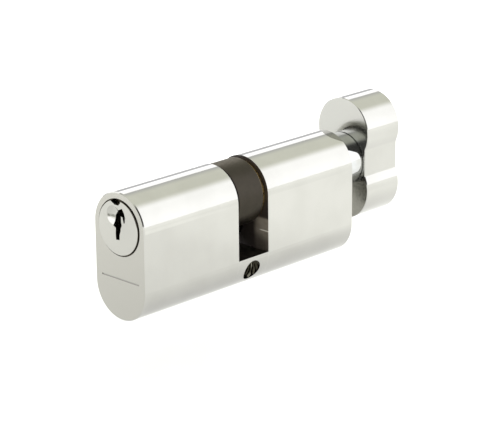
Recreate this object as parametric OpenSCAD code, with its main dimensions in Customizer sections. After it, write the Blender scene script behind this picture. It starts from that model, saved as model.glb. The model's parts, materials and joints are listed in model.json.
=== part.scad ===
// Oval-profile lock cylinder, key outside and thumbturn inside.
// X runs along the plugs from the key face (-X) to the knob (+X) and +Z is up.
// The origin is the middle of the fixing screw's hole, from which cylinder lengths are measured.

/* [Housing] */
// Width of the oval body
body_w = 16.8; // [16.4:0.1:18]
// Height of the oval body
body_h = 30.8; // [30:0.1:33]
// Length from the fixing screw to the key face
key_side = 35; // [35:1:60]
// Length from the fixing screw to the thumbturn face
turn_side = 35; // [27:1:60]
// Width of the cam slot
slot_w = 10; // [9.8:0.1:10.4]
// Depth of the cam slot below the plugs' axis
slot_depth = 13.85; // [13.6:0.05:14.2]
// Distance from the plugs' axis down to the fixing screw
screw_drop = 17.4; // [17:0.1:18]
// Outside diameter of the fixing screw's thread
screw_d = 5; // [4:0.5:5]
// Bevel around the body's two ends
end_bevel = 0.25; // [0.1:0.05:0.8]

/* [Plugs] */
// Diameter of both plugs inside the body
plug_d = 12.7; // [12.3:0.1:12.9]
// Diameter of the key plug's head
head_d = 13.6; // [13.3:0.1:13.8]
// Length of the key plug's head inside the body
head_len = 2; // [1:0.1:2.5]
// How far the key plug stands out of the body
plug_proud = 0.35; // [0.1:0.05:0.6]
// Width of the groove between the key plug's face and the body
rim_groove = 0.25; // [0.1:0.05:0.5]
// Radial running clearance of everything that turns or slides
gap = 0.05; // [0.02:0.01:0.08]

/* [Pins] */
// Distance from the key face to the first pin
first_pin = 5.5; // [5:0.1:6]
// Distance between pins
pin_pitch = 4.6; // [4:0.1:4.7]
// Diameter of the pins
pin_d = 2.8; // [2.5:0.1:3]
// Depth of the key's cut under each pin, in steps
key_cuts = [1, 4, 2, 5, 3]; // [1:1:5]
// Height of one cut step
cut_step = 0.55; // [0.4:0.05:0.6]
// Length of the driver pins
driver_len = 5; // [4:0.1:5.5]

/* [Cam] */
// Diameter of the cam's ring
ring_d = 16.2; // [16:0.1:16.6]
// Length of the cam along the plugs' axis
cam_w = 8.4; // [8.2:0.1:8.5]
// Distance from the body's middle to the cam's middle
cam_shift = -0.5; // [-0.5:0.05:-0.4]
// Width of the cam's lever
lever_w = 10.8; // [9:0.1:12]
// Reach of the lever from the plugs' axis
lever_reach = 13.3; // [12.5:0.1:13.4]
// Angle of the lever from straight down, towards +Y, where the key comes out
lever_tilt = 30; // [0:5:60]

/* [Thumbturn] */
// Diameter of the neck between the body and the knob
neck_d = 13.4; // [12.8:0.1:13.6]
// Length of the neck outside the body
neck_len = 5.6; // [3:0.1:9]
// Thickness of the knob
knob_len = 11.75; // [11.5:0.05:16]
// Diameter of the knob's two lobes
lobe_d = 16.6; // [16:0.1:17.5]
// Distance between the lobes' centres
lobe_spacing = 14.4; // [14:0.1:18]
// Width of the knob's flat-sided waist
waist_w = 14.8; // [14:0.1:15.5]
// Radius of the hollow corners between the waist and the lobes
waist_fillet = 1.5; // [0.5:0.1:2]
// Bevel around the knob's two faces
knob_bevel = 0.15; // [0.1:0.05:0.4]

/* [Hidden] */
PINS = [1:5];

$fn = 64;
fine = 128;   // segments of the large visible rounds
eps = 0.01;
past = 1;     // how far a cutting shape runs past the surface it cuts

half_w = body_w / 2;
lobe_drop = body_h - body_w;      // from the plugs' axis to the lower round's centre
plug_r = plug_d / 2;
bore_r = plug_r + gap;
head_r = head_d / 2;
neck_r = neck_d / 2;

// The parts in the slot, from the key side to the turn side
slot_x = slot_w / 2;
ring_r = ring_d / 2;
cam_x0 = cam_shift - cam_w / 2;
cam_x1 = cam_shift + cam_w / 2;
clip_t = 0.75;
clip_r = 7.3;
groove_r = 5.6;
groove_near = slot_x - gap;                   // the grooves start level with the slot's walls
groove_far = groove_near - clip_t - 2 * gap;
tail_r = 6.2;
tail_x = 2.4;                                 // the plugs' tails reach to this far from the middle
clip_pocket_r = clip_r + 0.15;
clip_pocket_x = groove_far - 0.75;            // end of the cam's pocket for the key plug's clip

// The clutch: two dogs that share one pair of notches in the cam's web
stroke = 2.1;
web_w = 2;
dog_gap = 0.05;
dog_r = 4.9;
dog_w = 3;
hub_r = 3.8;
dog_room_r = dog_r + 0.2;
blade_t = 2.4;
blade_len = 3.2;
clutch_spring_r = 1.15;
clutch_spring_x = 12;

// Pins and their chambers
chamber_r = pin_d / 2 + gap;
pin_hole_roof = 1.6;                          // top of the pin holes in the key plug
highest_tip = -2.4;                           // top of the pin under the shallowest cut
pin_point_r = 0.45;
chamber_plug_t = 1.7;
plug_press = 0.01;
chamber_floor = -body_h + half_w + chamber_plug_t;
pin_foot = 0.07;                              // the pins stay this far inside the shear line
driver_top = -bore_r - pin_foot / 2;

// The thumbturn
neck_x = turn_side + neck_len;
knob_x1 = neck_x + knob_len;
lobe_r = lobe_d / 2;
lobe_z = lobe_spacing / 2;
waist_y = waist_w / 2;
fillet_y = waist_y + waist_fillet;
fillet_drop = sqrt(pow(lobe_r + waist_fillet, 2) - pow(fillet_y, 2));   // below the lobe's centre
fillet_z = lobe_z - fillet_drop;
seam = 0.25;                                  // groove where the neck meets the knob
spigot_r = 4;
spigot_len = 8.6;
spigot_flat = 3.2;
knob_screw_d = 4;
knob_screw_x = neck_x + 5;
knob_screw_len = 3.7;

function pin_x(i) = -key_side + first_pin + (i - 1) * pin_pitch;
function pin_tip(i) = highest_tip + cut_step * (key_cuts[i - 1] - 1);

// ---- Building blocks ----

// Everything on the plugs' axis is drawn around the X axis and lifted here
module lifted() {
    translate([0, 0, screw_drop]) children();
}

// Turns a shape drawn in X and Y so that it stands across the plugs' axis at x
module across(x) {
    translate([x, 0, 0]) rotate([90, 0, 90]) children();
}

// Rod from x0 to x1 with a bevel at each end
module rod(x0, x1, r, c0 = 0, c1 = 0, fn = $fn) {
    len = x1 - x0;
    across(x0) rotate_extrude($fn = fn) polygon(concat(
        [[0, 0]],
        c0 > 0 ? [[r - c0, 0], [r, c0]] : [[r, 0]],
        c1 > 0 ? [[r, len - c1], [r - c1, len]] : [[r, len]],
        [[0, len]]
    ));
}

// Upright turned shape at x, from a list of [radius, height] points above the axis
module turned(x, points) {
    translate([x, 0, 0]) rotate_extrude() polygon(points);
}

// Upright flat-sided bar from z0 to z1, with a bevel c at each end
module flat_bar(x0, x1, half, c, z0, z1) {
    translate([0, 0, z0]) linear_extrude(z1 - z0) polygon([
        [x0, half - c], [x0, c - half], [x0 + c, -half], [x1 - c, -half],
        [x1, c - half], [x1, half - c], [x1 - c, half], [x0 + c, half]
    ]);
}

// Oval bar with bevelled ends
module oval_bar(x0, x1, c) {
    rod(x0, x1, half_w, c, c, fine);
    translate([0, 0, -lobe_drop]) rod(x0, x1, half_w, c, c, fine);
    flat_bar(x0, x1, half_w, c, -lobe_drop, 0);
}

// Helical compression spring standing on z = 0, with closed end turns
module coil(length, outer_r, wire_r, turns) {
    steps = 12;
    sides = 6;
    rings = turns * steps;
    mean_r = outer_r - wire_r;
    end_pitch = 2.3 * wire_r;
    rise = length - 2 * wire_r;
    function height(t) =
        t < 1 ? t * end_pitch
        : t > turns - 1 ? rise - (turns - t) * end_pitch
        : end_pitch + (t - 1) * (rise - 2 * end_pitch) / (turns - 2);
    function wire(k, j) =
        let (a = 360 * k / steps, b = 360 * j / sides, r = mean_r + wire_r * cos(b))
        [r * cos(a), r * sin(a), wire_r + height(k / steps) + wire_r * sin(b)];
    polyhedron(
        points = [for (k = [0:rings], j = [0:sides - 1]) wire(k, j)],
        faces = concat(
            [[for (j = [0:sides - 1]) j]],
            [for (k = [0:rings - 1], j = [0:sides - 1])
                let (m = (j + 1) % sides, a = k * sides, b = a + sides)
                [a + j, b + j, b + m, a + m]],
            [[for (j = [sides - 1:-1:0]) rings * sides + j]]
        )
    );
}

// ---- Housing ----

module chambers() {
    for (i = PINS)
        translate([pin_x(i), 0, -body_h]) cylinder(r = chamber_r, h = body_h - plug_r + past);
}

// Plain engraved rule on the key face
module face_rule() {
    translate([-key_side - past, -6.2, -12.6]) cube([past + 0.15, 12.4, 0.4]);
}

module housing() {
    head_seat = -key_side + head_len + gap;
    neck_seat = turn_side - head_len - gap;
    recess_r = neck_r + 0.6;          // shallow recess around the neck
    recess_depth = 0.8;
    color("gainsboro") lifted() difference() {
        oval_bar(-key_side, turn_side, end_bevel);
        rod(-key_side - past, turn_side + past, bore_r);
        rod(-key_side - past, head_seat, head_r + gap);
        rod(neck_seat, turn_side + past, neck_r + gap);
        rod(turn_side - recess_depth, turn_side + past, recess_r);
        translate([-slot_x, -body_w, -slot_depth]) cube([slot_w, 2 * body_w, slot_depth + body_w]);
        translate([0, 0, -screw_drop]) rotate([90, 0, 0])
            cylinder(d = screw_d, h = 2 * body_w, center = true);
        chambers();
        face_rule();
    }
}

// Pressed cap that closes a pin chamber from below, flush with the body
module chamber_plug(i) {
    color("gainsboro") lifted() intersection() {
        translate([pin_x(i), 0, -body_h]) cylinder(r = chamber_r + plug_press,
            h = body_h + chamber_floor);
        oval_bar(-key_side, turn_side, end_bevel);
    }
}

// ---- Key plug ----

// Section of the keyway in Y and Z, with the ward that stands in it
module keyway_section() {
    polygon([
        [-1.5, 4.9], [-2.2, 3.9], [-2.5, 2.9], [-2.3, 1.6], [-2, 1.5], [-1.6, 2.9], [-1.1, 3],
        [-1.15, 1.7], [-1.3, 0.8], [-0.9, 0], [-0.9, -0.5], [-0.5, -1.6], [-0.45, -2.8], [0.7, -2.9],
        [0.8, -1.6], [0.7, -0.1], [1.5, 0.3], [1.3, 1.3], [1.15, 2.8], [0.6, 3.5], [-0.3, 4.3]
    ]);
}

// Notch in the top of the plug's face and the scoop that leads a key in
module face_notch() {
    depth = 1.6;
    across(-key_side - plug_proud - past) linear_extrude(past + depth)
        polygon([[-0.3, 5.4], [0.9, 5.4], [2.6, 6.2], [2.8, 7.5], [-1.2, 7.5], [-0.9, 6]]);
}

module key_scoop() {
    scoop_r = 2.3;
    depth = 0.55;
    ball_r = (pow(scoop_r, 2) + pow(depth, 2)) / (2 * depth);
    translate([-key_side - plug_proud + depth - ball_r, 1.4, 2.8]) sphere(r = ball_r);
}

module key_plug() {
    face = -key_side - plug_proud;
    groove_floor = -key_side + 0.6;
    pin_hole_h = plug_r + past + pin_hole_roof;
    color("silver") lifted() difference() {
        union() {
            rod(face, groove_floor + past, head_r - rim_groove, 0.12, 0, fine);
            rod(groove_floor, -key_side + head_len, head_r, 0, 0, fine);
            rod(-key_side + 1, -groove_near, plug_r);
            rod(-groove_near - past, -groove_far + eps, groove_r);
            rod(-groove_far, -tail_x, tail_r, 0, 0.2);
        }
        across(face - past) linear_extrude(key_side) keyway_section();
        face_notch();
        key_scoop();
        for (i = PINS)
            translate([pin_x(i), 0, -plug_r - past]) cylinder(r = chamber_r, h = pin_hole_h);
        blade_slot(-tail_x - blade_len - 0.15, -tail_x + past);
    }
}

// Slot across a plug's tail in which a clutch blade slides
module blade_slot(x0, x1) {
    slot_h = dog_r + 0.1;
    translate([x0, -blade_t / 2 - gap, -slot_h]) cube([x1 - x0, blade_t + 2 * gap, 2 * slot_h]);
}

// Open spring ring in the groove at a plug's tail, with its gap below
module plug_clip(x) {
    opening = 9;
    color("goldenrod") lifted() difference() {
        rod(x, x + clip_t, clip_r);
        rod(x - past, x + clip_t + past, groove_r + gap);
        translate([x - past, -opening / 2, -clip_r - past]) cube([clip_t + 2 * past, opening, clip_r]);
    }
}

// ---- Cam and clutch ----

// Round hub with two dogs, drawn across the axis
module dog_section(hub, w, r) {
    circle(r = hub);
    intersection() {
        square([w, 2 * r + past], center = true);
        circle(r = r);
    }
}

// One clutch dog: the dogs from x0 to x1 and its blade from x1 to x2
module clutch_dog(x0, x1, x2) {
    across(min(x0, x1)) linear_extrude(abs(x1 - x0)) dog_section(hub_r, dog_w, dog_r);
    translate([min(x1, x2) - eps, -blade_t / 2, -hub_r])
        cube([abs(x2 - x1) + 2 * eps, blade_t, 2 * hub_r]);
}

module key_clutch() {
    color("slategray") lifted() clutch_dog(-dog_gap, -dog_gap - stroke, -tail_x - blade_len);
}

module turn_clutch() {
    color("slategray") lifted() clutch_dog(0, web_w, tail_x + blade_len - 0.6);
}

module clutch_spring() {
    start = tail_x + blade_len - 0.6 + 2 * gap;
    color("lightsteelblue") lifted() translate([start, 0, 0]) rotate([0, 90, 0])
        coil(clutch_spring_x - start - gap, clutch_spring_r, 0.15, 8);
}

// Ring with its lever, bored for both tails and notched for the clutch
module cam() {
    color("dimgray") lifted() difference() {
        union() {
            rod(cam_x0, cam_x1, ring_r, 0.1, 0.1, fine);
            rotate([lever_tilt, 0, 0]) intersection() {
                translate([cam_x0, -lever_w / 2, -lever_reach]) cube([cam_w, lever_w, lever_reach]);
                rod(cam_x0, cam_x1, lever_reach, 0.1, 0.1, fine);
            }
        }
        rod(cam_x0 - past, -clip_pocket_x, clip_pocket_r);
        rod(cam_x0 - past, -tail_x + gap, tail_r + gap);
        rod(-tail_x, 0, dog_room_r);
        rod(web_w + dog_gap, tail_x, dog_room_r);
        rod(tail_x - gap, cam_x1 + past, tail_r + gap);
        across(-past) linear_extrude(web_w + 2 * past)
            dog_section(hub_r + 2 * gap, dog_w + 2 * gap, dog_room_r);
    }
}

// ---- Thumbturn ----

module turn_plug() {
    recess_x = web_w + dog_gap + stroke + 0.2;
    spigot_x = neck_x + spigot_len;
    color("silver") lifted() difference() {
        union() {
            rod(tail_x, groove_far, tail_r, 0.2, 0);
            rod(groove_far - eps, groove_near + past, groove_r);
            rod(groove_near, turn_side - 1, plug_r);
            rod(turn_side - head_len, neck_x - seam, neck_r, 0, 0, fine);
            rod(turn_side, neck_x, neck_r - seam);
            rod(neck_x - past, spigot_x, spigot_r, 0, 0.4);
        }
        rod(tail_x - past, recess_x, dog_room_r);
        blade_slot(tail_x, tail_x + blade_len + stroke - 0.3);
        rod(tail_x, clutch_spring_x, clutch_spring_r + 2 * gap);
        translate([knob_screw_x - 2.5, spigot_flat, -spigot_r])
            cube([5, spigot_r, 2 * spigot_r]);
    }
}

// Flat-sided bar between the lobes, with a hollow corner where each side meets a lobe
module knob_waist() {
    share = lobe_r / (lobe_r + waist_fillet);
    touch_y = fillet_y * share;
    touch_z = lobe_z - fillet_drop * share;
    difference() {
        union() {
            flat_bar(neck_x, knob_x1, waist_y, knob_bevel, -fillet_z, fillet_z);
            for (side = [-1, 1])
                across(neck_x) linear_extrude(knob_len) polygon([
                    [-waist_y, side * fillet_z], [waist_y, side * fillet_z],
                    [touch_y, side * touch_z], [-touch_y, side * touch_z]
                ]);
        }
        for (y = [-fillet_y, fillet_y], z = [-fillet_z, fillet_z])
            translate([0, y, z]) corner_cut();
    }
}

// Cutter for one hollow corner of the knob, flared at both ends to leave the bevel
module corner_cut() {
    flare = knob_bevel + past;
    across(neck_x) rotate_extrude() polygon([
        [0, -past], [waist_fillet + flare, -past], [waist_fillet, knob_bevel],
        [waist_fillet, knob_len - knob_bevel], [waist_fillet + flare, knob_len + past],
        [0, knob_len + past]
    ]);
}

module turn_knob() {
    color("gainsboro") lifted() difference() {
        union() {
            for (side = [-1, 1])
                translate([0, 0, side * lobe_z]) rod(neck_x, knob_x1, lobe_r, knob_bevel, knob_bevel, fine);
            knob_waist();
        }
        rod(neck_x - past, neck_x + spigot_len + 0.3, spigot_r + gap);
        translate([knob_screw_x, 0, 0]) rotate([-90, 0, 0]) cylinder(d = knob_screw_d, h = body_w);
    }
}

// Grub screw through the knob's far side onto the flat of the spigot
module knob_screw() {
    socket_across = 2;
    socket_depth = 1.8;
    color("dimgray") lifted() translate([knob_screw_x, spigot_flat + eps, 0]) rotate([-90, 0, 0])
        difference() {
            rotate_extrude() polygon([
                [0, 0], [1.2, 0], [knob_screw_d / 2 - gap, 0.7], [knob_screw_d / 2 - gap, knob_screw_len],
                [0, knob_screw_len]
            ]);
            translate([0, 0, knob_screw_len - socket_depth])
                cylinder(d = socket_across / cos(30), h = socket_depth + past, $fn = 6);
        }
}

// ---- Pins ----

// Pin in the key plug, from just inside the plug's surface up to its point in the keyway
module key_pin(i) {
    r = pin_d / 2;
    foot = -plug_r + pin_foot;
    tip = pin_tip(i);
    color("goldenrod") lifted() turned(pin_x(i), [
        [0, foot], [0.6, foot], [r, foot + 0.16], [r, tip - 0.8], [pin_point_r, tip], [0, tip]
    ]);
}

// Driver pin in its chamber, every second one waisted against picking
module driver_pin(i) {
    r = pin_d / 2;
    waist = i % 2 == 0 ? 0.5 : 0;
    foot = driver_top - driver_len;
    color("silver") lifted() turned(pin_x(i), [
        [0, foot], [r - 0.2, foot], [r, foot + 0.2], [r, foot + 1.4], [r - waist, foot + 1.5],
        [r - waist, driver_top - 0.9], [r, driver_top - 0.8], [r, driver_top - 0.2],
        [r - 0.2, driver_top], [0, driver_top]
    ]);
}

module pin_spring(i) {
    length = driver_top - driver_len - chamber_floor - 2 * gap;
    color("lightsteelblue") lifted() translate([pin_x(i), 0, chamber_floor + gap])
        coil(length, chamber_r - 0.15, 0.16, 9);
}

housing();
key_plug();
plug_clip(-groove_near + gap);  // key_plug_clip
key_clutch();
clutch_spring();
cam();
turn_clutch();
turn_plug();
plug_clip(groove_far + gap);  // turn_plug_clip
turn_knob();
knob_screw();
for (i = PINS) {
    key_pin(i);
    driver_pin(i);
    pin_spring(i);
    chamber_plug(i);
}
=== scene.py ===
import json
import math

import bmesh
import bpy
from mathutils import Matrix, Vector

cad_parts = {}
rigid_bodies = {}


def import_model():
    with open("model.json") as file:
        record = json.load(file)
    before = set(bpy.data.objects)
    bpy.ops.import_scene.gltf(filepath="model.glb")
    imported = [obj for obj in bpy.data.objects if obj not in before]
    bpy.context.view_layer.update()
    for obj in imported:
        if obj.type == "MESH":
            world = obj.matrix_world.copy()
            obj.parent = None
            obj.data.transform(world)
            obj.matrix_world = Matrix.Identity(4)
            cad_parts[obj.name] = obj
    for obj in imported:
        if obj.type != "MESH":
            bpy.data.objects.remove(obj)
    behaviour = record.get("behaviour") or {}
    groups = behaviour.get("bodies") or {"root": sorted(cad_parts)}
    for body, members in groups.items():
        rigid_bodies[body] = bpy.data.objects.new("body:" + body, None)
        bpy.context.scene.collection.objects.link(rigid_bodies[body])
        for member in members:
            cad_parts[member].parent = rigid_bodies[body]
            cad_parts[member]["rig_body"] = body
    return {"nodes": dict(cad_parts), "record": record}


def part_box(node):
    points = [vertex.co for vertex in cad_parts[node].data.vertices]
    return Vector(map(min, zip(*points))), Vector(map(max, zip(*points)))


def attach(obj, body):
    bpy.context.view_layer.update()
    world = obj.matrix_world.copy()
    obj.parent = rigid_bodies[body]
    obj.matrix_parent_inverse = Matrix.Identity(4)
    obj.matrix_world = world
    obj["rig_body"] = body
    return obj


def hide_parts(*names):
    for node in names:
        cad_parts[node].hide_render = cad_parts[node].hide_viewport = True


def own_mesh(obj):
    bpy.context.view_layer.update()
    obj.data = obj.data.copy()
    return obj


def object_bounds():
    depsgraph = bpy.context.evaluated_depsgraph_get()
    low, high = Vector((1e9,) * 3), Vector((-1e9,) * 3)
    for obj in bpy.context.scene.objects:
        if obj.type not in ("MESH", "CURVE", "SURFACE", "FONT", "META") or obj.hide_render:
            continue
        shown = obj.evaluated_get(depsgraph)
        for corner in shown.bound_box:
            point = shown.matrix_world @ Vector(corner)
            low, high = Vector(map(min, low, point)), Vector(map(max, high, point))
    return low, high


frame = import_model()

cad_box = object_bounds()
NODES = frame["nodes"]
PINS = range(1, 6)
MM = 0.001

# ---- Sizes read from the frame, in metres ----

body_low, body_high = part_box("housing")
cam_low, cam_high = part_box("cam")
KEY_FACE_X = body_low.x
TURN_FACE_X = body_high.x
KNOB_BACK_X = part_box("turn_knob")[0].x
HALF_W = (body_high.y - body_low.y) / 2
AXIS_Z = body_high.z - HALF_W                             # height of the plugs' axis
OVAL_MID_Z = (body_low.z + body_high.z) / 2
OVAL_HALF_FLAT = (body_high.z - body_low.z) / 2 - HALF_W  # half the straight part of the oval
SCREW = next(m for m in frame["record"]["mounts"] if m["name"] == "fixing_screw")
SCREW_R = SCREW["dims"]["r_mm"] * MM

# ---- Sizes that the frame doesn't give ----

SLOT_HALF = 5.0 * MM          # half the width of the cam slot
BORE_MOUTH = 0.6 * MM         # the chrome reaches this far into the bores
PLUG_RIM_R = 6.48 * MM        # just inside the edge of the key plug's face
PLUG_LIP = 0.75 * MM          # the plug's chrome reaches this far into the keyway, from the body's face
RULE_DROP = 12.4 * MM         # engraved rule, below the plugs' axis
RULE_HALF = 6.3 * MM          # half the rule's length, and a little over
SCOOP_RISE = 2.45 * MM        # middle of the scoop, above the plugs' axis
MARK_DROP = 8.85 * MM         # bright line on the slot's walls, below the plugs' axis
SKIN = 0.02 * MM              # how close to a face counts as on it


# ---- Shader nodes ----

class Nodes:
    """A node tree that is built by calling functions; each returns an output socket."""

    def __init__(self, owner, coordinates):
        owner.use_nodes = True
        self.tree = owner.node_tree
        self.tree.nodes.clear()
        self.coords = self.add("ShaderNodeTexCoord").outputs[coordinates]

    def add(self, kind):
        return self.tree.nodes.new(kind)

    def put(self, socket, value):
        """Sets a socket to a value, or links it to another socket."""
        if isinstance(value, bpy.types.NodeSocket):
            self.tree.links.new(value, socket)
        else:
            socket.default_value = value

    def math(self, operation, *values):
        node = self.add("ShaderNodeMath")
        node.operation = operation
        for socket, value in zip(node.inputs, values):
            self.put(socket, value)
        return node.outputs[0]

    def total(self, *values):
        result = values[0]
        for value in values[1:]:
            result = self.math("ADD", result, value)
        return result

    def product(self, *values):
        result = values[0]
        for value in values[1:]:
            result = self.math("MULTIPLY", result, value)
        return result

    def minus(self, a, b):
        return self.math("SUBTRACT", a, b)

    def size(self, value):
        """A number without its sign."""
        return self.math("ABSOLUTE", value)

    def apart(self, a, b):
        """Distance between two numbers."""
        return self.size(self.minus(a, b))

    def above(self, value, limit):
        return self.math("GREATER_THAN", value, limit)

    def below(self, value, limit):
        return self.math("LESS_THAN", value, limit)

    def between(self, factor, a, b):
        """Number between a and b."""
        return self.ramp(factor, 0.0, 1.0, a, b)

    def split(self):
        node = self.add("ShaderNodeSeparateXYZ")
        self.put(node.inputs[0], self.coords)
        return node.outputs

    def radius(self, a, b):
        """Length of the vector (a, b)."""
        return self.math("SQRT", self.total(self.product(a, a), self.product(b, b)))

    def ramp(self, value, start, end, low=0.0, high=1.0):
        """Goes smoothly from low to high as value goes from start to end."""
        node = self.add("ShaderNodeMapRange")
        node.interpolation_type = "SMOOTHSTEP"
        sockets = [node.inputs[k] for k in ("Value", "From Min", "From Max", "To Min", "To Max")]
        for socket, given in zip(sockets, (value, start, end, low, high)):
            self.put(socket, given)
        return node.outputs["Result"]

    def near(self, value, centre, inner, outer):
        """1 as far as inner from the centre, fading to 0 at outer."""
        return self.ramp(self.apart(value, centre), inner, outer, 1.0, 0.0)

    def mix(self, factor, a, b):
        """Colour between a and b."""
        node = self.add("ShaderNodeMix")
        node.data_type = "RGBA"
        self.put(node.inputs["Factor"], factor)
        self.put(node.inputs[6], a)
        self.put(node.inputs[7], b)
        return node.outputs[2]

    def noise(self, size, detail=3.0, stretch=(1, 1, 1)):
        """Noise with features about size metres across, longer along an axis whose stretch is under 1."""
        mapping = self.add("ShaderNodeMapping")
        self.put(mapping.inputs["Vector"], self.coords)
        mapping.inputs["Scale"].default_value = [s / size for s in stretch]
        node = self.add("ShaderNodeTexNoise")
        self.put(node.inputs["Vector"], mapping.outputs["Vector"])
        node.inputs["Scale"].default_value = 1.0
        node.inputs["Detail"].default_value = detail
        return node.outputs["Fac"]

    def mottle(self, size, detail, low=0.0, high=1.0):
        """Patchy number from low to high, with patches about size metres across."""
        return self.ramp(self.noise(size, detail), 0.3, 0.7, low, high)

    def bump(self, height, distance, normal=None):
        """Normal bent by a height from 0 to 1 that stands for distance metres."""
        node = self.add("ShaderNodeBump")
        node.inputs["Distance"].default_value = distance
        self.put(node.inputs["Height"], height)
        if normal is not None:
            self.put(node.inputs["Normal"], normal)
        return node.outputs["Normal"]


class Surface(Nodes):
    """A material with one Principled shader, textured in the part's own coordinates."""

    SOCKETS = {"color": "Base Color", "metallic": "Metallic", "roughness": "Roughness",
               "normal": "Normal", "specular": "Specular IOR Level", "edge_tint": "Specular Tint"}

    def __init__(self, name):
        self.material = bpy.data.materials.new(name)
        super().__init__(self.material, "Object")
        self.shader = self.add("ShaderNodeBsdfPrincipled")
        out = self.add("ShaderNodeOutputMaterial")
        self.put(out.inputs["Surface"], self.shader.outputs["BSDF"])

    def finish(self, **values):
        for key, value in values.items():
            self.put(self.shader.inputs[self.SOCKETS[key]], value)
        return self.material


def rgb(r, g, b):
    return (r, g, b, 1.0)


# ---- Masks: 1 where a finish, a painted shade or a painted highlight shows, in the part's coordinates ----

def cut_into_body(s):
    """The housing's cut surfaces: the slot, the bores and the screw's hole."""
    x, y, z = s.split()
    above_flat = s.minus(s.apart(z, OVAL_MID_Z), OVAL_HALF_FLAT)
    depth = s.minus(HALF_W, s.radius(y, s.math("MAXIMUM", above_flat, 0.0)))
    off_the_ends = s.below(s.size(x), TURN_FACE_X - BORE_MOUTH)
    return s.product(s.above(depth, 2 * SKIN), off_the_ends)


def end_faces(s):
    """The machined end faces of the housing."""
    x, _, _ = s.split()
    return s.above(s.size(x), TURN_FACE_X - SKIN)


def knob_back(s):
    """The knob's satin face towards the body."""
    x, _, _ = s.split()
    return s.below(x, KNOB_BACK_X + SKIN)


def behind_plug_face(s):
    """The key plug's keyway and sides, but not its face, scoop and the lips round them."""
    x, y, z = s.split()
    deep = s.above(x, KEY_FACE_X + PLUG_LIP)
    side = s.above(s.radius(y, s.minus(z, AXIS_Z)), PLUG_RIM_R)
    return s.math("MAXIMUM", deep, side)


def engraved_rule(s):
    """The floor of the plain rule engraved in the key face."""
    x, y, z = s.split()
    in_groove = s.product(s.above(x, KEY_FACE_X + 0.05 * MM), s.below(x, KEY_FACE_X + 0.2 * MM))
    level = s.below(s.apart(s.minus(AXIS_Z, z), RULE_DROP), 0.25 * MM)
    return s.product(in_groove, level, s.below(s.size(y), RULE_HALF))


def scoop_shade_line(s):
    """Painted shade in a patchy band across the scoop beside the keyway."""
    x, y, z = s.split()
    in_face = s.below(x, KEY_FACE_X + 0.3 * MM)
    band = s.near(s.minus(z, AXIS_Z), SCOOP_RISE, 0.12 * MM, 0.45 * MM)
    left_end = s.ramp(y, 3.2 * MM, 3.7 * MM, 1.0, 0.0)
    right_end = s.ramp(y, 0.8 * MM, 1.4 * MM)
    patches = s.ramp(s.noise(0.8 * MM, 3), 0.35, 0.6, 0.45, 0.95)
    return s.product(in_face, band, left_end, right_end, patches)


def screw_hole(s):
    """The threaded hole for the fixing screw, which lies on the part's Y axis."""
    x, _, z = s.split()
    return s.below(s.radius(x, z), SCREW_R + 0.05 * MM)


def thread_highlight(s):
    """Where the thread gets a painted highlight: one turn part of the way in, and the lower edge of the
    mouth.
    """
    _, y, z = s.split()
    depth = s.size(y)
    turn = s.product(s.near(depth, 5.6 * MM, 0.15 * MM, 0.35 * MM), s.ramp(z, -0.8 * MM, 0.2 * MM))
    mouth = s.product(s.ramp(depth, 5.1 * MM, 5.9 * MM), s.ramp(z, -2.0 * MM, -1.3 * MM, 0.3, 0.0))
    return s.math("MAXIMUM", turn, mouth)


def slot_walls(s):
    """The two milled walls of the cam slot."""
    x, _, _ = s.split()
    return s.below(s.apart(s.size(x), SLOT_HALF), SKIN)


def lit_wall_patch(s):
    """How much of the lit brass shows on the slot's walls: painted shade beside the ring and far in, painted
    light near the front that grows dimmer towards the bottom, in a mottled tone.
    """
    _, y, z = s.split()
    depth = s.minus(AXIS_Z, z)
    below_ring = s.ramp(depth, 5.4 * MM, 6.2 * MM)
    near_front = s.ramp(s.size(y), 3.1 * MM, 4.8 * MM)
    fading = s.ramp(depth, 8.6 * MM, 12.0 * MM, 0.75, 0.20)
    return s.product(below_ring, near_front, fading, s.mottle(2.5 * MM, 4, 0.75, 1.1))


def wall_line(s):
    """Bright line along each wall of the slot, near the front."""
    _, y, z = s.split()
    line = s.near(s.minus(AXIS_Z, z), MARK_DROP, 0.06 * MM, 0.2 * MM)
    return s.product(line, s.ramp(s.size(y), 5.0 * MM, 6.2 * MM), 0.8)


def milling_arcs(s):
    """Height of the arcs that the slot's cutter leaves on its walls."""
    _, y, z = s.split()
    step = 0.35 * MM
    sweep = s.radius(s.minus(y, 9 * MM), s.minus(z, AXIS_Z + 12 * MM))
    return s.math("SINE", s.product(sweep, 2 * math.pi / step))


# ---- Materials ----

CHROME = rgb(0.453, 0.451, 0.425)
CHROME_HAZE = rgb(0.431, 0.429, 0.403)
CHROME_FACE = rgb(0.422, 0.417, 0.384)
PLUG_FACE = rgb(0.458, 0.455, 0.424)
NECK_CHROME = rgb(0.55, 0.565, 0.575)
KNOB_BACK = rgb(0.453, 0.453, 0.429)
ENGRAVED = rgb(0.31, 0.305, 0.285)
# Painted shade in the scoop beside the keyway.
SCOOP_SHADE = rgb(0.12, 0.12, 0.10)
BRASS = rgb(0.12, 0.105, 0.08)
BRASS_STAINED = rgb(0.05, 0.043, 0.034)
# Painted shade deep in the screw's hole and a painted highlight on its thread.
THREAD_SHADE = rgb(0.028, 0.026, 0.018)
THREAD_HIGHLIGHT = rgb(0.33, 0.32, 0.26)
# Painted shade and painted light on the slot's walls: the shaded and the lit colour of the same brass.
WALL_SHADE = rgb(0.030, 0.023, 0.019)
WALL_LIT_BRASS = rgb(0.31, 0.27, 0.215)
WALL_MARK = rgb(0.85, 0.80, 0.70)
CAM_STEEL = rgb(0.040, 0.035, 0.028)
CAM_STEEL_DARK = rgb(0.035, 0.031, 0.025)
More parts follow.
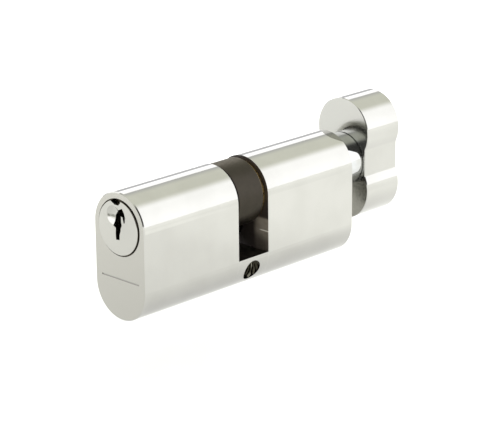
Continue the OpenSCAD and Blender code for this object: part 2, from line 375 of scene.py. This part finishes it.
# Painted highlight along the cam's turn-side edge.
CAM_EDGE_GLINT = rgb(0.15, 0.125, 0.08)
CAM_KEY_EDGE_DARK = rgb(0.006, 0.005, 0.004)
CAM_EDGE_TINT = rgb(0.90, 0.87, 0.79)
BRASS_ROUGHER = 0.32          # added to the roughness where the brass is bare
THREAD_ROUGH = 0.16
POLISH_HEIGHT = 0.15          # polishing lines, beside the milling arcs' 1
WALL_DULLNESS = 0.9           # 1 would make the slot's walls no metal at all


def chrome(name, rough=0.05, base=CHROME, face=None, face_base=CHROME_FACE, face_rough=0.12, bare=None):
    """Polished chrome plate with a faint haze and polishing lines along X.

    face(s) is 1 on duller machined faces and bare(s) is 1 where the brass shows.
    """
    s = Surface(name)
    haze = s.noise(9 * MM, 4)
    color = s.mix(s.ramp(haze, 0.35, 0.7), base, CHROME_HAZE)
    roughness = s.mottle(3 * MM, 5, rough, rough + 0.04)
    height = s.product(s.noise(0.2 * MM, 2, stretch=(0.06, 1, 1)), POLISH_HEIGHT)
    metallic = 1.0
    if face is not None:
        machined = face(s)
        color = s.mix(machined, color, face_base)
        roughness = s.total(roughness, s.product(machined, face_rough))
    if bare is not None:
        plain = bare(s)
        walls = slot_walls(s)
        hole = screw_hole(s)
        # Painted light and shade on the slot's walls: a lit patch near the front, dark shade beside the ring
        # and deeper in.
        wall = s.mix(lit_wall_patch(s), WALL_SHADE, WALL_LIT_BRASS)
        wall = s.mix(wall_line(s), wall, WALL_MARK)
        brass = s.mix(walls, s.mix(s.mottle(1.6 * MM, 5), BRASS, BRASS_STAINED), wall)
        color = s.mix(plain, color, brass)
        # The screw's hole is painted: dark shade inside and painted highlights on the thread.
        color = s.mix(hole, color, s.mix(thread_highlight(s), THREAD_SHADE, THREAD_HIGHLIGHT))
        color = s.mix(engraved_rule(s), color, ENGRAVED)
        # Painted shade across the scoop.
        color = s.mix(scoop_shade_line(s), color, SCOOP_SHADE)
        roughness = s.total(roughness, s.product(plain, BRASS_ROUGHER))
        roughness = s.between(hole, roughness, THREAD_ROUGH)
        height = s.total(height, s.product(walls, milling_arcs(s)))
        metallic = s.minus(1.0, s.product(walls, WALL_DULLNESS))
    waves = s.bump(haze, 0.012 * MM)
    return s.finish(color=color, metallic=metallic, roughness=roughness,
                    normal=s.bump(height, 0.006 * MM, waves))


def steel(name, light, dark, rough):
    """Plain worked metal with a mottled tone and a fine grain."""
    s = Surface(name)
    grains = s.noise(0.4 * MM, 3)
    color = s.mix(s.mottle(2.2 * MM, 5), light, dark)
    roughness = s.ramp(grains, 0.3, 0.7, rough - 0.06, rough + 0.08)
    return s.finish(color=color, metallic=1.0, roughness=roughness, normal=s.bump(grains, 0.003 * MM))


def burnished(name):
    """Dark grey-brown steel, near black along the key side's edge, with a patchy painted highlight along the
    other edge that fades towards the bottom.
    """
    s = Surface(name)
    x, _, z = s.split()
    grains = s.noise(0.3 * MM, 3, stretch=(0.3, 1, 1))
    patchiness = s.ramp(s.noise(0.9 * MM, 4), 0.35, 0.6)
    lit_top = s.ramp(s.minus(z, AXIS_Z), -0.5 * MM, 3.0 * MM)
    turn_edge = s.ramp(s.minus(cam_high.x, x), 0.05 * MM, 0.3 * MM, 1.0, 0.0)
    key_edge = s.ramp(s.minus(x, cam_low.x), 0.25 * MM, 0.6 * MM, 1.0, 0.0)
    color = s.mix(s.mottle(2.5 * MM, 5), CAM_STEEL, CAM_STEEL_DARK)
    # Painted highlight along the turn side's edge, fading towards the bottom.
    color = s.mix(s.product(turn_edge, patchiness, lit_top), color, CAM_EDGE_GLINT)
    color = s.mix(key_edge, color, CAM_KEY_EDGE_DARK)
    roughness = s.ramp(grains, 0.3, 0.7, 0.33, 0.45)
    return s.finish(color=color, metallic=1.0, roughness=roughness, edge_tint=CAM_EDGE_TINT,
                    normal=s.bump(grains, 0.004 * MM))


def dress(material, *names):
    """Gives the named CAD nodes a material."""
    for name in names:
        data = NODES[name].data
        data.materials.clear()
        data.materials.append(material)


def each_pin(prefix):
    return [f"{prefix}_{i}" for i in PINS]


housing_chrome = chrome("chrome_over_brass", face=end_faces, bare=cut_into_body)
dress(housing_chrome, "housing", *each_pin("chamber_plug"))
dress(chrome("plug_chrome", rough=0.12, base=PLUG_FACE, bare=behind_plug_face), "key_plug")
dress(chrome("neck_chrome", base=NECK_CHROME), "turn_plug")
dress(chrome("knob_chrome", face=knob_back, face_base=KNOB_BACK, face_rough=0.09), "turn_knob")
dress(burnished("burnished_steel"), "cam")
dress(steel("clip_bronze", rgb(0.50, 0.35, 0.13), rgb(0.28, 0.19, 0.08), rough=0.3),
      "key_plug_clip", "turn_plug_clip")
dress(steel("clutch_steel", rgb(0.40, 0.40, 0.41), rgb(0.28, 0.28, 0.29), rough=0.3),
      "key_clutch", "turn_clutch")
dress(steel("pin_brass", rgb(0.62, 0.45, 0.20), rgb(0.50, 0.35, 0.15), rough=0.25),
      *each_pin("key_pin"))
dress(steel("pin_steel", rgb(0.55, 0.55, 0.56), rgb(0.42, 0.42, 0.43), rough=0.25),
      *each_pin("driver_pin"))
dress(steel("black_steel", rgb(0.05, 0.05, 0.055), rgb(0.03, 0.03, 0.033), rough=0.4), "knob_screw")
spring_steel = steel("spring_steel", rgb(0.50, 0.50, 0.52), rgb(0.40, 0.40, 0.42), rough=0.22)


# ---- Pieces built here ----

def mesh_piece(name, points, faces, material, body, slot):
    """Closed mesh with its faces turned outward, which rides on a body."""
    mesh = bpy.data.meshes.new(name)
    mesh.from_pydata(points, [], faces)
    mesh.validate()
    edited = bmesh.new()
    edited.from_mesh(mesh)
    bmesh.ops.recalc_face_normals(edited, faces=edited.faces)
    edited.to_mesh(mesh)
    edited.free()
    mesh.shade_smooth()
    mesh.materials.append(material)
    piece = bpy.data.objects.new(name, mesh)
    bpy.context.scene.collection.objects.link(piece)
    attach(piece, body)
    return piece


def swept(rings):
    """Points and faces of a tube through rings of equally many points, with a cap at each end."""
    sides = len(rings[0])
    faces = [tuple(range(sides))[::-1]]
    for k in range(len(rings) - 1):
        a, b = k * sides, (k + 1) * sides
        for j in range(sides):
            m = (j + 1) % sides
            faces.append((a + j, a + m, b + m, b + j))
    last = (len(rings) - 1) * sides
    faces.append(tuple(range(last, last + sides)))
    return [p for ring in rings for p in ring], faces


def spring(node, axis, wire_r, turns):
    """Coil spring in place of a CAD one."""
    low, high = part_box(node)
    a = "xyz".index(axis)
    b = (a + 1) % 3
    c = (a + 2) % 3
    outer_r = (high[b] - low[b]) / 2
    length = high[a] - low[a]
    mean_r = outer_r - wire_r
    steps = 40
    sides = 14
    end_pitch = 2.05 * wire_r
    rise = length - 2 * wire_r

    def height(t):
        if t < 1:
            return t * end_pitch
        if t > turns - 1:
            return rise - (turns - t) * end_pitch
        return end_pitch + (t - 1) * (rise - 2 * end_pitch) / (turns - 2)

    rings = []
    for k in range(turns * steps + 1):
        angle = 2 * math.pi * k / steps
        ring = []
        for j in range(sides):
            turn = 2 * math.pi * j / sides
            r = mean_r + wire_r * math.cos(turn)
            point = [0.0, 0.0, 0.0]
            point[a] = low[a] + wire_r + height(k / steps) + wire_r * math.sin(turn)
            point[b] = (low[b] + high[b]) / 2 + r * math.cos(angle)
            point[c] = (low[c] + high[c]) / 2 + r * math.sin(angle)
            ring.append(point)
        rings.append(ring)
    piece = mesh_piece(f"{node}_coil", *swept(rings), spring_steel, NODES[node]["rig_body"], "spring_steel")
    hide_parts(node)
    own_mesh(piece)


for i in PINS:
    spring(f"pin_spring_{i}", "z", wire_r=0.16 * MM, turns=9)
spring("clutch_spring", "x", wire_r=0.15 * MM, turns=8)


def fixing_thread():
    """The screw's thread: a helical ridge, in runs that taper off short of the body's surface."""
    pitch = 0.8 * MM
    full_height = 0.43 * MM
    least_height = 0.02 * MM
    crest_half = 0.06 * MM
    root_half = 0.36 * MM
    sunk = 0.03 * MM
    taper = 0.5 * MM
    steps = 48
    points = []
    faces = []
    run = []

    def close_run():
        if len(run) > 1:
            start = len(points)
            run_points, run_faces = swept(run)
            points.extend(run_points)
            faces.extend(tuple(start + k for k in face) for face in run_faces)
        run.clear()

    for k in range(math.ceil(2 * HALF_W / pitch) * steps + 1):
        angle = 2 * math.pi * k / steps
        y = pitch * k / steps - HALF_W
        z = SCREW_R * math.sin(angle)
        below_flat = max(OVAL_MID_Z - OVAL_HALF_FLAT - z, 0.0)
        room = math.sqrt(HALF_W ** 2 - below_flat ** 2) - abs(y) - root_half
        if room <= 0:
            close_run()
            continue
        height = max(full_height * min(room / taper, 1.0), least_height)
        profile = [(SCREW_R + sunk, -root_half), (SCREW_R - height, -crest_half),
                   (SCREW_R - height, crest_half), (SCREW_R + sunk, root_half)]
        run.append([(r * math.cos(angle), y + along, r * math.sin(angle)) for r, along in profile])
    close_run()
    piece = mesh_piece("fixing_thread", points, faces, housing_chrome, "housing", "chrome_body")
    piece.data.shade_flat()


fixing_thread()


# ---- Studio: floor, light and camera ----

FLOOR_DROP = 25 * MM
FLOOR_HALF = 3.0
PAPER = rgb(1.0, 0.998, 0.99)
PAPER_FLECK = rgb(0.98, 0.978, 0.97)
BLACK = rgb(0.0, 0.0, 0.0)
PANEL_NEAR = rgb(1.235, 1.25, 1.12)
PANEL_FAR = rgb(0.885, 0.89, 0.88)
TENT_LOW = rgb(2.30, 2.30, 2.36)
TENT_HIGH = rgb(2.14, 2.14, 2.18)
TENT_BEHIND = rgb(0.80, 0.80, 0.83)
TENT_DARK = rgb(0.12, 0.12, 0.12)
SUN_PLACE = Vector((-0.1, -0.2, 1.0))
SUN_POWER = 1.72
SUN_ANGLE = math.radians(100)


def make_floor():
    """Pale paper, a little darker round the part, where less light would reach it."""
    z = cad_box[0][2] - FLOOR_DROP
    corners = [(-FLOOR_HALF, -FLOOR_HALF, z), (FLOOR_HALF, -FLOOR_HALF, z),
               (FLOOR_HALF, FLOOR_HALF, z), (-FLOOR_HALF, FLOOR_HALF, z)]
    mesh = bpy.data.meshes.new("floor")
    mesh.from_pydata(corners, [], [(0, 1, 2, 3)])
    floor = bpy.data.objects.new("floor", mesh)
    bpy.context.scene.collection.objects.link(floor)
    s = Surface("floor_paper")
    x, y, _ = s.split()
    beside = s.ramp(s.apart(y, 25 * MM), 0.0, 140 * MM, 0.80, 1.0)
    under_knob = s.ramp(x, 50 * MM, 105 * MM, 0.86, 1.0)
    past_knob = s.ramp(x, 120 * MM, 170 * MM, 1.0, 0.94)
    far = s.ramp(s.radius(x, y), 150 * MM, 600 * MM, 0.94, 1.0)
    level = s.product(beside, under_knob, past_knob, far, 0.97)
    fleck = s.noise(4 * MM, 4)
    color = s.mix(level, BLACK, s.mix(fleck, PAPER, PAPER_FLECK))
    paper = s.finish(color=color, roughness=0.9, specular=0.1, normal=s.bump(fleck, 0.02 * MM))
    mesh.materials.append(paper)


def make_world():
    """A soft tent: bright walls, a dimmer ceiling panel, a grey patch low behind and a dark side at -X -Y."""
    world = bpy.data.worlds.new("studio")
    bpy.context.scene.world = world
    s = Nodes(world, "Generated")
    x, y, z = s.split()
    height = s.math("MAXIMUM", z, 0.05)
    across = s.math("DIVIDE", y, height)
    along = s.size(s.math("DIVIDE", x, height))
    near_edge = s.ramp(across, -0.66, -0.14)
    far_edge = s.ramp(across, 0.97, 1.03, 1.0, 0.0)
    side_edges = s.ramp(along, 1.6, 2.0, 1.0, 0.0)
    overhead = s.ramp(z, 0.2, 0.3)
    ceiling = s.product(near_edge, far_edge, side_edges, overhead)
    behind = s.product(s.ramp(z, 0.24, 0.30, 1.0, 0.0), s.ramp(s.total(x, y), 0.9, 1.15))
    dark_side = s.product(s.ramp(x, -0.35, -0.50), s.ramp(y, -0.04, -0.30), s.ramp(z, -0.04, 0.06))
    panel = s.mix(s.ramp(across, 0.35, 0.95), PANEL_NEAR, PANEL_FAR)
    wall = s.mix(s.ramp(z, 0.1, 0.6), TENT_LOW, TENT_HIGH)
    color = s.mix(ceiling, wall, panel)
    color = s.mix(behind, color, TENT_BEHIND)
    color = s.mix(dark_side, color, TENT_DARK)
    background = s.add("ShaderNodeBackground")
    s.put(background.inputs["Color"], color)
    s.put(s.add("ShaderNodeOutputWorld").inputs["Surface"], background.outputs[0])


def make_sun():
    """Soft overhead light that shows only on matt surfaces."""
    data = bpy.data.lights.new("overhead", "SUN")
    data.energy = SUN_POWER
    data.angle = SUN_ANGLE
    light = bpy.data.objects.new("overhead", data)
    bpy.context.scene.collection.objects.link(light)
    light.location = SUN_PLACE
    light.rotation_euler = (-SUN_PLACE).to_track_quat("-Z", "Y").to_euler()
    light.visible_glossy = False
    light.visible_camera = False


CAMERA_AZIMUTH = math.radians(-45.437)
CAMERA_ELEVATION = math.radians(17.907)
CAMERA_ROLL = math.radians(-0.557)
CAMERA_PLACE = Vector((-348.11, -350.07, 172.42)) * MM
CAMERA_LENS = 156.85


def make_camera():
    """The camera that the photo was taken with, as fitted to the part's edges."""
    level = math.cos(CAMERA_ELEVATION)
    back = Vector((math.sin(CAMERA_AZIMUTH) * level, -math.cos(CAMERA_AZIMUTH) * level,
                   math.sin(CAMERA_ELEVATION)))
    right = Vector((0, 0, 1)).cross(back).normalized()
    up = back.cross(right)
    tilted_right = right * math.cos(CAMERA_ROLL) + up * math.sin(CAMERA_ROLL)
    tilted_up = up * math.cos(CAMERA_ROLL) - right * math.sin(CAMERA_ROLL)
    data = bpy.data.cameras.new("camera")
    data.lens = CAMERA_LENS
    data.sensor_width = 36.0
    data.clip_start = 0.01
    data.clip_end = 20
    camera = bpy.data.objects.new("camera", data)
    bpy.context.scene.collection.objects.link(camera)
    axes = Matrix((tilted_right, tilted_up, back)).transposed().to_4x4()
    camera.matrix_world = Matrix.Translation(CAMERA_PLACE) @ axes
    bpy.context.scene.camera = camera


make_floor()
make_world()
make_sun()
make_camera()
bpy.context.scene.view_settings.view_transform = "Standard"
